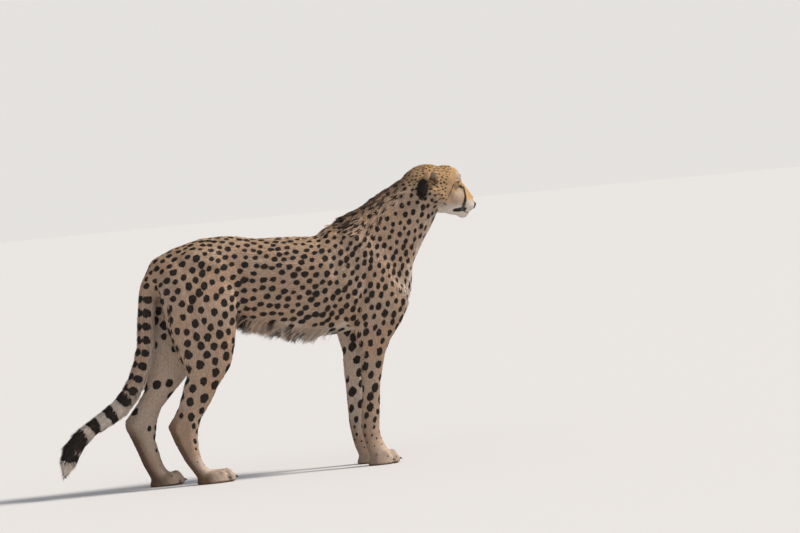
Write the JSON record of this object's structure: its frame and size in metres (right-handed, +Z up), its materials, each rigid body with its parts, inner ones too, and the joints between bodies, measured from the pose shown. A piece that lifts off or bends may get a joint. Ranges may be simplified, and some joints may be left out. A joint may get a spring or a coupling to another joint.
{
  "type": "cheetah",
  "caption": "Life-size standing cheetah with a spotted coat, looking ahead, its ringed tail hanging behind it.",
  "frame": {"origin": "on the ground, at the middle of the model's length and width", "axes": "+X towards the head, +Y to the animal's left, +Z up"},
  "size_m": [1.443, 0.2398, 0.9436],
  "materials": {
    "coat": "short tan fur with solid black spots, paler below",
    "nose": "moist black leather",
    "eye": "polished amber with a round black pupil",
    "claw": "dark horn"
  },
  "bodies": {
    "root": {"claw_fore_left_1": "claw", "claw_fore_left_2": "claw", "claw_fore_left_3": "claw", "claw_fore_left_4": "claw", "claw_fore_right_1": "claw", "claw_fore_right_2": "claw", "claw_fore_right_3": "claw", "claw_fore_right_4": "claw", "claw_hind_left_1": "claw", "claw_hind_left_2": "claw", "claw_hind_left_3": "claw", "claw_hind_left_4": "claw", "claw_hind_right_1": "claw", "claw_hind_right_2": "claw", "claw_hind_right_3": "claw", "claw_hind_right_4": "claw", "ear_left": "coat", "ear_right": "coat", "eye_left": "eye", "eye_right": "eye", "forearm_left": "coat", "forearm_right": "coat", "head": "coat", "lower_jaw": "coat", "metatarsus_left": "coat", "metatarsus_right": "coat", "neck": "coat", "nose": "nose", "paw_fore_left": "coat", "paw_fore_right": "coat", "paw_hind_left": "coat", "paw_hind_right": "coat", "shank_left": "coat", "shank_right": "coat", "tail_bend": "coat", "tail_middle": "coat", "tail_root": "coat", "tail_tip": "coat", "thigh_left": "coat", "thigh_right": "coat", "trunk": "coat", "upper_arm_left": "coat", "upper_arm_right": "coat"}
  },
  "joints": []
}
